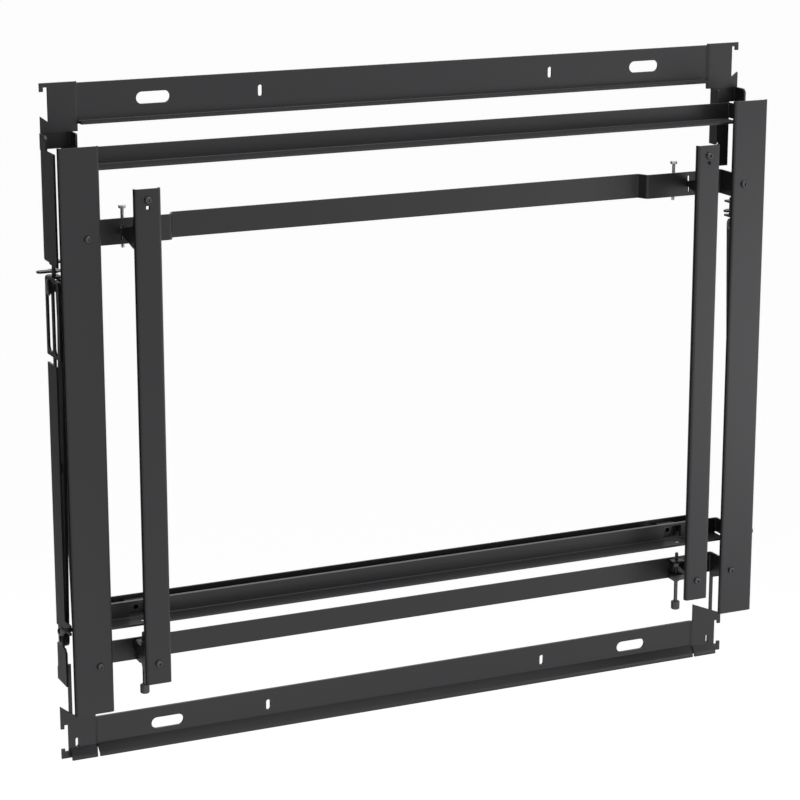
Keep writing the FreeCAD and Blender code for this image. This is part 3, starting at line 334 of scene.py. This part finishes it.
def materials():
    """The four finishes, made once, by the record's slot names."""
    if "frame_coat" not in bpy.data.materials:
        coat, hardware = bpy.context.scene.mount_coat, bpy.context.scene.mount_hardware
        group = grain_group()
        finish_material("frame_coat", group, coat.color, coat.roughness, grain=1 / coat.grain,
                        mottle=7.0, shade=0.1, spread=0.06, depth=0.05 * MM, metal=0.0,
                        shine=0.03)
        # The dark black zinc of the screws also carries painted shadow round their heads
        finish_material("black_steel", group, hardware.steel_and_head_shadow, 0.42, grain=2500.0, mottle=60.0,
                        shade=0.15, spread=0.08, depth=0.02 * MM, metal=0.5, shine=0.1)
        finish_material("zinc_steel", group, hardware.zinc, 0.3, grain=2500.0, mottle=80.0,
                        shade=0.08, spread=0.06, depth=0.02 * MM, metal=0.95, shine=0.5)
        finish_material("nylon", group, hardware.nylon, 0.55, grain=1800.0, mottle=40.0,
                        shade=0.1, spread=0.05, depth=0.02 * MM, metal=0.0, shine=0.1)
    return bpy.data.materials


# Mesh helpers
def merged_copy(node):
    """A bmesh of the node with its loose triangles merged back into flat faces."""
    bm = bmesh.new()
    bm.from_mesh(frame["nodes"][node].data)
    bmesh.ops.remove_doubles(bm, verts=bm.verts, dist=NODE_MERGE)
    bmesh.ops.dissolve_limit(bm, angle_limit=FLAT_ANGLE, verts=bm.verts, edges=bm.edges)
    return bm


def soften(bm, geom, width):
    """Rounds the given edges off with a narrow bevel."""
    bmesh.ops.bevel(bm, geom=geom, offset=width, affect="EDGES", segments=2, profile=0.5,
                    material=-1, clamp_overlap=True)


def points_of(geometry):
    return [item for item in geometry if isinstance(item, bmesh.types.BMVert)]


def square_to(axis):
    """A direction square to the axis."""
    return ACROSS if abs(axis.x) < 0.5 else UPWARD


def lathe(bm, profile, origin, axis, steps=PIN_STEPS, closed=False):
    """Spins (radius, along) points in millimetres round an axis through the origin."""
    side = square_to(axis)
    verts = [bm.verts.new(origin + (axis * along + side * radius) * MM)
             for radius, along in profile]
    pairs = list(zip(verts, verts[1:])) + ([(verts[-1], verts[0])] if closed else [])
    edges = [bm.edges.new(pair) for pair in pairs]
    bmesh.ops.spin(bm, geom=verts + edges, cent=origin, axis=axis, dvec=(0, 0, 0), angle=math.tau,
                   steps=steps, use_merge=True)
    bmesh.ops.remove_doubles(bm, verts=bm.verts, dist=LATHE_MERGE)
    bmesh.ops.recalc_face_normals(bm, faces=bm.faces)


def turned(bm, places, radii, origin, axis):
    """Turned piece with one radius between each two places and domed heads at its ends."""
    steps = list(zip(places, places[1:], radii))
    low, high, radius = steps[0]
    profile = [(radius * r, high - (high - low) * h) for r, h in DOME] + [(radius, high)]
    for low, high, radius in steps[1:-1]:
        profile += [(radius, low), (radius, high)]
    low, high, radius = steps[-1]
    profile += [(radius, low)] + [(radius * r, low + (high - low) * h) for r, h in reversed(DOME)]
    lathe(bm, profile, origin, axis)


def thread(bm, origin, axis, radius, low, high):
    """Helical ridge between two heights on a core, closed at both ends."""
    pitch = bpy.context.scene.mount_hardware.pitch / MM
    side = square_to(axis)
    old = set(bm.faces)
    root = radius - THREAD_DEPTH - THREAD_SINK
    section = ((root, 0.0), (radius, pitch * THREAD_CREST), (root, pitch * THREAD_FOOT))
    verts = [bm.verts.new(origin + (axis * (low + rise) + side * reach) * MM)
             for reach, rise in section]
    edges = [bm.edges.new((verts[i - 1], verts[i])) for i in range(len(verts))]
    count = int(((high - low) / pitch - THREAD_FOOT) * THREAD_STEPS)
    bmesh.ops.spin(bm, geom=verts + edges, cent=origin, axis=axis,
                   dvec=axis * (pitch * MM / THREAD_STEPS), angle=math.tau * count / THREAD_STEPS,
                   steps=count)
    ridge = [f for f in bm.faces if f not in old]
    ends = {e for f in ridge for e in f.edges if len(e.link_faces) == 1}
    caps = bmesh.ops.holes_fill(bm, edges=list(ends), sides=4)["faces"]
    bmesh.ops.recalc_face_normals(bm, faces=ridge + caps)


def sink_socket(bm, origin, axis, top, radius):
    """Pulls the ring of the given radius at the top onto a hexagon and sinks a socket into it."""
    flats = bpy.context.scene.mount_hardware.socket / 2
    side = square_to(axis)
    other = axis.cross(side)
    middle = origin + axis * top * MM
    ring = []
    for vert in bm.verts:
        arm = vert.co - middle
        if abs(arm.dot(axis)) < NEAR and abs(arm.length - radius * MM) < NEAR:
            angle = math.atan2(arm.dot(other), arm.dot(side))
            reach = flats / math.cos((angle + HALF_SIDE) % (2 * HALF_SIDE) - HALF_SIDE)
            vert.co = middle + (side * math.cos(angle) + other * math.sin(angle)) * reach
            ring.append(vert)
    rim = {e for v in ring for e in v.link_edges if len(e.link_faces) == 1}
    walls = bmesh.ops.extrude_edge_only(bm, edges=list(rim))["geom"]
    bmesh.ops.translate(bm, verts=points_of(walls), vec=-axis * SOCKET_SINK * MM)
    bmesh.ops.edgeloop_fill(bm, edges=[e for e in walls if isinstance(e, bmesh.types.BMEdge)
                                       and len(e.link_faces) == 1])


def button_screw(bm, x, z, depths):
    """Screw along the depth, from its threaded end to a domed head with a hex socket."""
    end, face = depths
    origin = Vector((x, 0, z)) * MM
    mouth = bpy.context.scene.mount_hardware.socket / MM * SOCKET_MOUTH
    top = face + BUTTON_HEIGHT
    run_out = end + BUTTON_THREAD
    profile = [(0, end), (BUTTON_TIP_R, end), (BUTTON_CORE_R, end + BUTTON_TIP),
               (BUTTON_CORE_R, run_out), (BUTTON_SHANK_R, run_out + BUTTON_STEP),
               (BUTTON_SHANK_R, face)]
    profile += [(BUTTON_R * r, face + BUTTON_HEIGHT * h) for r, h in BUTTON_CURVE] + [(mouth, top)]
    fresh = bmesh.new()
    lathe(fresh, profile, origin, OUTWARD, steps=BUTTON_STEPS)
    sink_socket(fresh, origin, OUTWARD, top, mouth)
    bmesh.ops.recalc_face_normals(fresh, faces=fresh.faces)
    start, past = BUTTON_RIDGE
    thread(fresh, origin, OUTWARD, BUTTON_SHANK_R, end + start, run_out + past)
    join(bm, fresh)


def hex_block(bm, origin, axis, low):
    """Six-sided head or nut with chamfered corners."""
    side = square_to(axis)
    other = axis.cross(side)
    fresh = bmesh.new()
    bmesh.ops.create_circle(fresh, cap_ends=True, radius=HEX_FLAT / math.sqrt(3) * MM, segments=6)
    for vert in list(fresh.verts):
        vert.co = origin + side * vert.co.x + other * vert.co.y + axis * low * MM
    up = bmesh.ops.extrude_face_region(fresh, geom=fresh.faces[:])["geom"]
    bmesh.ops.translate(fresh, verts=points_of(up), vec=axis * HEX_HEIGHT * MM)
    bmesh.ops.recalc_face_normals(fresh, faces=fresh.faces)
    soften(fresh, fresh.verts[:] + fresh.edges[:], HEX_CHAMFER * MM)
    join(bm, fresh)


def join(bm, fresh):
    """Adds a finished bmesh to another."""
    mesh = bpy.data.meshes.new("Joined")
    fresh.to_mesh(mesh)
    fresh.free()
    bm.from_mesh(mesh)
    bpy.data.meshes.remove(mesh)


def add_object(name, data):
    thing = bpy.data.objects.new(name, data)
    bpy.context.scene.collection.objects.link(thing)
    return thing


def mesh_object(name, bm):
    """An object with the bmesh as its mesh."""
    mesh = bpy.data.meshes.new(name)
    bm.to_mesh(mesh)
    bm.free()
    return add_object(name, mesh)


def place_piece(bm, name, node, slot=None):
    """Turns the bmesh into a piece that stands for the node and rides on the node's body."""
    for face in bm.faces:
        face.smooth = True
    slot = slot or SLOTS[node]
    body = next(body for body, members in BODIES.items() if node in members)
    piece = mesh_object(name, bm)
    piece.data.set_sharp_from_angle(angle=SHADE_ANGLE)
    weighted = piece.modifiers.new("Flat faces stay flat", "WEIGHTED_NORMAL")
    weighted.keep_sharp = True
    piece.data.materials.append(materials()[slot])
    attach(piece, body)
    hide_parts(node)


def soften_node(node, width):
    """The node itself with its sharp edges rounded off."""
    bm = merged_copy(node)
    sharp = [e for e in bm.edges if len(e.link_faces) == 2 and e.calc_face_angle() > EDGE_ANGLE]
    soften(bm, sharp, width)
    place_piece(bm, node + "_softened", node)


def side_axis(sign, depth, z):
    """Origin and direction for a piece turned along X on one side."""
    return Vector((0, -depth, z)) * MM, ACROSS * sign


# Operators
class MOUNT_OT_sheet_metal(bpy.types.Operator):
    """Rails, posts, arms, plates, bars and brackets with softened edges and a powder coat"""
    bl_idname = "mount.sheet_metal"
    bl_label = "Sheet Metal"

    def execute(self, context):
        for node in sorted(SLOTS):
            if SLOTS[node] == "frame_coat" and "lever" not in node:
                soften_node(node, context.scene.mount_coat.edge)
        return {"FINISHED"}


class MOUNT_OT_pivot_pins(bpy.types.Operator):
    """Riveted pins of the scissors and the docking pins"""
    bl_idname = "mount.pivot_pins"
    bl_label = "Pivot Pins"

    def execute(self, context):
        rear_in, rear_out = REAR_ARM[0] - FACE_GAP, REAR_ARM[1] + FACE_GAP
        front_in, front_out = FRONT_ARM[0] - FACE_GAP, FRONT_ARM[1] + FACE_GAP
        carriage_in, carriage_out = CARRIAGE
        pins = {
            "rear_pivot_pin": (
                REAR_DEPTH, PIVOT_Z, RIVET,
                (rear_in - HEAD, rear_in, rear_out, POST_INNER, POST_FACE, POST_FACE + HEAD)),
            "centre_pin": (
                (REAR_DEPTH + FRONT_DEPTH) / 2, (PIVOT_Z + ROLLER_Z) / 2, RIVET,
                (front_in - HEAD, front_in, front_out, rear_in, rear_out, rear_out + HEAD)),
            "front_pivot_pin": (
                FRONT_DEPTH, PIVOT_Z, RIVET,
                (carriage_in - HEAD, carriage_in, carriage_out, front_in, front_out,
                 front_out + HEAD)),
            "docking_pin": (
                DOCK_DEPTH, DOCK_Z, (DOCK_R, DOCK_R, DOCK_COLLAR_R, DOCK_HEAD_R, DOCK_HEAD_R),
                (carriage_in - HEAD, carriage_in, DOCK_NECK, DOCK_COLLAR, DOCK_FLAT, DOCK_TIP)),
        }
        for side, sign in SIDES.items():
            for part, (depth, z, radii, places) in pins.items():
                bm = bmesh.new()
                turned(bm, places, radii, *side_axis(sign, depth, z))
                node = f"{side}_{part}"
                place_piece(bm, node + "_turned", node)
        return {"FINISHED"}


class MOUNT_OT_rollers(bpy.types.Operator):
    """Nylon rollers on their riveted studs"""
    bl_idname = "mount.rollers"
    bl_label = "Rollers"

    def execute(self, context):
        slot_in, slot_out = CARRIAGE[0] - FACE_GAP, CARRIAGE[1] + FACE_GAP
        post_in, post_out = POST_INNER - FACE_GAP, POST_FACE + FACE_GAP
        # The face of each stud's wide head, beside its wheel
        front_head, rear_head = slot_in - FACE_GAP, post_out + FACE_GAP
        rollers = {
            "front_roller": (
                FRONT_DEPTH, slot_in, slot_out, (ROLLER_HEAD_R,) + RIVET[1:],
                (front_head - HEAD, front_head, slot_out + FACE_GAP, *REAR_ARM,
                 REAR_ARM[1] + HEAD)),
            "rear_roller": (
                REAR_DEPTH, post_in, post_out, RIVET[:-1] + (ROLLER_HEAD_R,),
                (FRONT_ARM[0] - HEAD, *FRONT_ARM, post_in - FACE_GAP, rear_head,
                 rear_head + HEAD)),
        }
        soft = context.scene.mount_hardware.edge / MM
        for side, sign in SIDES.items():
            for part, (depth, low, high, radii, places) in rollers.items():
                node = f"{side}_{part}"
                origin, axis = side_axis(sign, depth, ROLLER_Z)
                bm = bmesh.new()
                turned(bm, places, radii, origin, axis)
                place_piece(bm, node + "_stud", node, "black_steel")
                bm = bmesh.new()
                ring = [(BORE_R, low), (ROLLER_R - soft, low), (ROLLER_R, low + soft),
                        (ROLLER_R, high - soft), (ROLLER_R - soft, high), (BORE_R, high)]
                lathe(bm, ring, origin, axis, steps=WHEEL_STEPS, closed=True)
                place_piece(bm, node + "_wheel", node)
        return {"FINISHED"}


class MOUNT_OT_front_screws(bpy.types.Operator):
    """Button head screws of the front plates and of the display rails"""
    bl_idname = "mount.front_screws"
    bl_label = "Front Screws"

    def execute(self, context):
        bm = bmesh.new()
        for sign in SIDES.values():
            for z in PLATE_SCREW_Z:
                button_screw(bm, PLATE_SCREW_X * sign, z, PLATE_SCREW_DEPTHS)
        place_piece(bm, "front_plate_screws_turned", "front_plate_screws")
        for side, sign in SIDES.items():
            bm = bmesh.new()
            for z in RAIL_SCREW_Z:
                button_screw(bm, RAIL_SCREW_X * sign, z, RAIL_SCREW_DEPTHS)
            node = side + "_rail_screws"
            place_piece(bm, node + "_turned", node)
        return {"FINISHED"}


class MOUNT_OT_height_screws(bpy.types.Operator):
    """Height screws with knurled heads, and their nuts, bushes and blocks"""
    bl_idname = "mount.height_screws"
    bl_label = "Height Screws"

    def execute(self, context):
        knob_edge_r = KNOB_R - KNOB_CHAMFER
        profile = [
            (0, KNOB_LOW_Z), (knob_edge_r, KNOB_LOW_Z), (KNOB_R, KNOB_LOW_Z + KNOB_CHAMFER),
            (KNOB_R, KNOB_HIGH_Z - KNOB_CHAMFER), (knob_edge_r, KNOB_HIGH_Z),
            (KNOB_NECK_R, KNOB_HIGH_Z + KNOB_NECK), (SHANK_R, KNOB_HIGH_Z + KNOB_NECK_END),
            (SHANK_R, COLLAR_LOW_Z - COLLAR_CONE), (COLLAR_FOOT_R, COLLAR_LOW_Z),
            (COLLAR_R, COLLAR_LOW_Z + COLLAR_CHAMFER), (COLLAR_R, COLLAR_HIGH_Z),
            (HEIGHT_CORE_R, COLLAR_HIGH_Z), (HEIGHT_CORE_R, HEIGHT_TIP_Z - HEIGHT_TIP),
            (HEIGHT_CORE_R - HEIGHT_TIP, HEIGHT_TIP_Z), (0, HEIGHT_TIP_Z)]
        for side, sign in SIDES.items():
            origin = Vector((HEIGHT_X * sign, -HEIGHT_DEPTH, 0)) * MM
            bm = bmesh.new()
            lathe(bm, profile, origin, UPWARD, steps=KNURL_LINES)
            self.knurl(bm, origin)
            thread(bm, origin, UPWARD, SHANK_R, *HEIGHT_THREAD_Z)
            node = side + "_height_screw"
            place_piece(bm, node + "_turned", node)
            soften_node(side + "_bracket_nut", NUT_EDGE * MM)
        for node in ("screw_bushes", "cross_rail_nut_blocks"):
            soften_node(node, context.scene.mount_hardware.edge)
        return {"FINISHED"}

    def knurl(self, bm, origin):
        """Straight knurl: every other line of the knob's rim moves inwards."""
        low, high = KNOB_LOW_Z + KNURL_MARGIN, KNOB_HIGH_Z - KNURL_MARGIN
        for vert in bm.verts:
            arm = vert.co - origin
            reach = math.hypot(arm.x, arm.y)
            if low * MM <= arm.z <= high * MM and abs(reach - KNOB_R * MM) < NEAR:
                line = round(math.atan2(arm.y, arm.x) / math.tau * KNURL_LINES)
                if line % 2:
                    vert.co.x -= arm.x * KNURL_SHARE
                    vert.co.y -= arm.y * KNURL_SHARE


class MOUNT_OT_hanging_screws(bpy.types.Operator):
    """Bright screws in the lips of the hook brackets, with a nut and a hex head"""
    bl_idname = "mount.hanging_screws"
    bl_label = "Hanging Screws"

    def execute(self, context):
        profile = [(0, HANGING_TIP_Z), (HANGING_TIP_R, HANGING_TIP_Z),
                   (HANGING_CORE_R, HANGING_TIP_Z + HANGING_TIP), (HANGING_CORE_R, HANGING_TOP_Z),
                   (0, HANGING_TOP_Z)]
        for side, sign in SIDES.items():
            origin = Vector((HANGING_X * sign, -HANGING_DEPTH, 0)) * MM
            bm = bmesh.new()
            lathe(bm, profile, origin, UPWARD, steps=ROD_STEPS)
            thread(bm, origin, UPWARD, HANGING_R, *HANGING_THREAD_Z)
            for low in (HANGING_LIP_Z, HANGING_HEAD_Z):
                hex_block(bm, origin, UPWARD, low)
            node = side + "_safety_screw"
            place_piece(bm, node + "_threaded", node)
        return {"FINISHED"}


class MOUNT_OT_spacing_levers(bpy.types.Operator):
    """Finger levers between the upper and the lower posts, with their screws"""
    bl_idname = "mount.spacing_levers"
    bl_label = "Spacing Levers"

    def execute(self, context):
        for side in SIDES:
            soften_node(side + "_spacing_lever", context.scene.mount_hardware.edge)
        return {"FINISHED"}


class MOUNT_OT_stage(bpy.types.Operator):
    """Pale floor, soft lights, a dark card on the left and the camera"""
    bl_idname = "mount.stage"
    bl_label = "Stage"

    def execute(self, context):
        settings = context.scene.mount_stage
        self.add_floor(settings)
        self.add_card()
        self.add_room(settings)
        for name, place, size in LAMPS:
            self.add_lamp(name.capitalize() + " light", place, size, getattr(settings, name))
        self.add_camera(context, settings)
        context.scene.view_settings.view_transform = "Standard"
        return {"FINISHED"}

    def seen_rays(self, tree):
        """1 for rays that show the background: camera, glossy and transmission rays."""
        path = add_node(tree, "ShaderNodeLightPath")
        seen = path.outputs["Is Camera Ray"]
        for ray in ("Is Glossy Ray", "Is Transmission Ray"):
            either = add_node(tree, "ShaderNodeMath", operation="MAXIMUM")
            tree.links.new(seen, either.inputs[0])
            tree.links.new(path.outputs[ray], either.inputs[1])
            seen = either.outputs[0]
        return seen

    def add_plane(self, name, half):
        """A flat square on the stage, and the nodes of its own material."""
        bm = bmesh.new()
        bmesh.ops.create_grid(bm, x_segments=1, y_segments=1, size=half)
        plane = mesh_object(name, bm)
        material = bpy.data.materials.new(name)
        material.use_nodes = True
        plane.data.materials.append(material)
        return plane, material.node_tree

    def add_floor(self, settings):
        """Grey floor that shows white, with the mount's shadow, to the rays that see it."""
        floor, tree = self.add_plane("Pale floor", FLOOR_HALF)
        floor.location = (0, 0, CAD_BOX[0].z - settings.floor_drop)
        tree.nodes.clear()
        diffuse = add_node(tree, "ShaderNodeBsdfDiffuse")
        diffuse.inputs["Color"].default_value = FLOOR_COLOR
        glow = add_node(tree, "ShaderNodeEmission")
        level = add_node(tree, "ShaderNodeMath", operation="MULTIPLY")
        level.inputs[1].default_value = FLOOR_GLOW
        total = add_node(tree, "ShaderNodeAddShader")
        out = add_node(tree, "ShaderNodeOutputMaterial")
        link = tree.links.new
        link(self.seen_rays(tree), level.inputs[0])
        link(level.outputs[0], glow.inputs["Strength"])
        link(diffuse.outputs[0], total.inputs[0])
        link(glow.outputs[0], total.inputs[1])
        link(total.outputs[0], out.inputs["Surface"])

    def add_card(self):
        """Black card that the camera doesn't see: it keeps the left-hand walls dark."""
        card, tree = self.add_plane("Dark card", CARD_HALF)
        shader = tree.nodes["Principled BSDF"]
        shader.inputs["Base Color"].default_value = CARD_COLOR
        shader.inputs["Specular IOR Level"].default_value = 0.0
        card.location = CARD_PLACE
        card.rotation_euler = (0, math.pi / 2, 0)
        card.visible_camera = False
        card.visible_shadow = False

    def add_room(self, settings):
        """White room for the rays that see it, and a weak even light for the rest."""
        world = bpy.data.worlds.new("Room")
        bpy.context.scene.world = world
        world.use_nodes = True
        tree = world.node_tree
        back = tree.nodes["Background"]
        back.inputs["Color"].default_value = (1, 1, 1, 1)
        level = add_node(tree, "ShaderNodeMapRange")
        level.inputs["To Min"].default_value = settings.sky
        level.inputs["To Max"].default_value = 1.0
        tree.links.new(self.seen_rays(tree), level.inputs["Value"])
        tree.links.new(level.outputs["Result"], back.inputs["Strength"])

    def add_lamp(self, name, place, size, power):
        """Square lamp that shines at the middle of the mount."""
        data = bpy.data.lights.new(name, "AREA")
        data.shape = "SQUARE"
        data.size = size
        data.energy = power
        lamp = add_object(name, data)
        lamp.location = place
        lamp.rotation_euler = (-Vector(place)).to_track_quat("-Z", "Y").to_euler()

    def add_camera(self, context, settings):
        data = bpy.data.cameras.new("Camera")
        data.lens = settings.lens
        data.sensor_width = SENSOR_WIDTH
        camera = add_object("Camera", data)
        camera.location = settings.camera
        camera.rotation_euler = (math.pi / 2 - settings.tilt, 0.0, -settings.heading)
        context.scene.camera = camera


class VIEW3D_PT_wall_mount(bpy.types.Panel):
    """Sizes, colours and steps of the wall mount"""
    bl_label = "Video Wall Mount"
    bl_space_type = "VIEW_3D"
    bl_region_type = "UI"
    bl_category = "Wall Mount"

    def draw(self, context):
        scene = context.scene
        for settings in (scene.mount_coat, scene.mount_hardware, scene.mount_stage):
            box = self.layout.box()
            for name in settings.__annotations__:
                box.prop(settings, name)
        for operator in OPERATORS:
            self.layout.operator(operator.bl_idname)


OPERATORS = (MOUNT_OT_sheet_metal, MOUNT_OT_pivot_pins, MOUNT_OT_rollers, MOUNT_OT_front_screws,
             MOUNT_OT_height_screws, MOUNT_OT_hanging_screws, MOUNT_OT_spacing_levers,
             MOUNT_OT_stage)
CLASSES = (CoatSettings, HardwareSettings, StageSettings) + OPERATORS + (VIEW3D_PT_wall_mount,)


def register():
    for item in CLASSES:
        bpy.utils.register_class(item)
    bpy.types.Scene.mount_coat = PointerProperty(type=CoatSettings)
    bpy.types.Scene.mount_hardware = PointerProperty(type=HardwareSettings)
    bpy.types.Scene.mount_stage = PointerProperty(type=StageSettings)


def unregister():
    del bpy.types.Scene.mount_stage
    del bpy.types.Scene.mount_hardware
    del bpy.types.Scene.mount_coat
    for item in reversed(CLASSES):
        bpy.utils.unregister_class(item)


def main():
    register()
    bpy.ops.mount.sheet_metal()
    bpy.ops.mount.pivot_pins()
    bpy.ops.mount.rollers()
    bpy.ops.mount.front_screws()
    bpy.ops.mount.height_screws()
    bpy.ops.mount.hanging_screws()
    bpy.ops.mount.spacing_levers()
    bpy.ops.mount.stage()
    bpy.context.view_layer.update()


if __name__ == "__main__":
    main()
